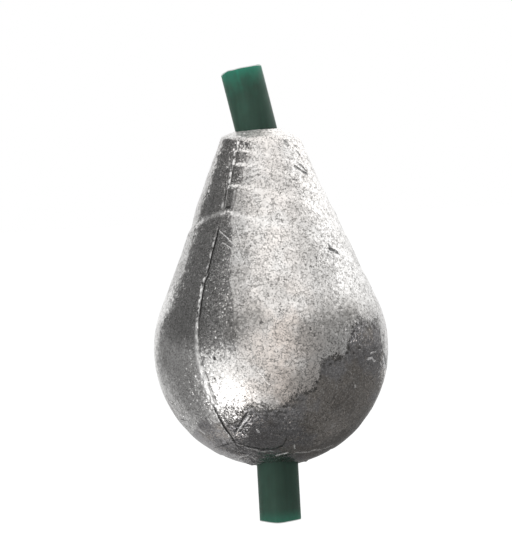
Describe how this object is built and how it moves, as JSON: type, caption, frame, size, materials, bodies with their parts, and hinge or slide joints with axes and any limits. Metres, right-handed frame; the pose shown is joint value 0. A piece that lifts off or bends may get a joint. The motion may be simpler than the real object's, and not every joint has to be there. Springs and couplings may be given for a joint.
{
  "type": "fishing sinker",
  "caption": "Pear-shaped lead weight with a soft plastic tube through its bore, threaded on a fishing line so that the line runs through it.",
  "frame": {"origin": "on the bore's axis at the lower mouth of the lead body", "axes": "+Z along the bore towards the narrow end, and the free upper end of the tube leans towards -X"},
  "size_m": [0.0226, 0.0226, 0.044],
  "materials": {
    "lead": "as cast, frosted grey",
    "tube": "satin, slightly translucent dark green"
  },
  "bodies": {
    "sinker": {"lead_body": "lead"},
    "tube": {"line_tube": "tube"}
  },
  "joints": [
    {"name": "tube_slide", "type": "slide", "parent": "sinker", "child": "tube", "axis": [0, 0, 1], "range_m": [0, 0.0055]}
  ]
}
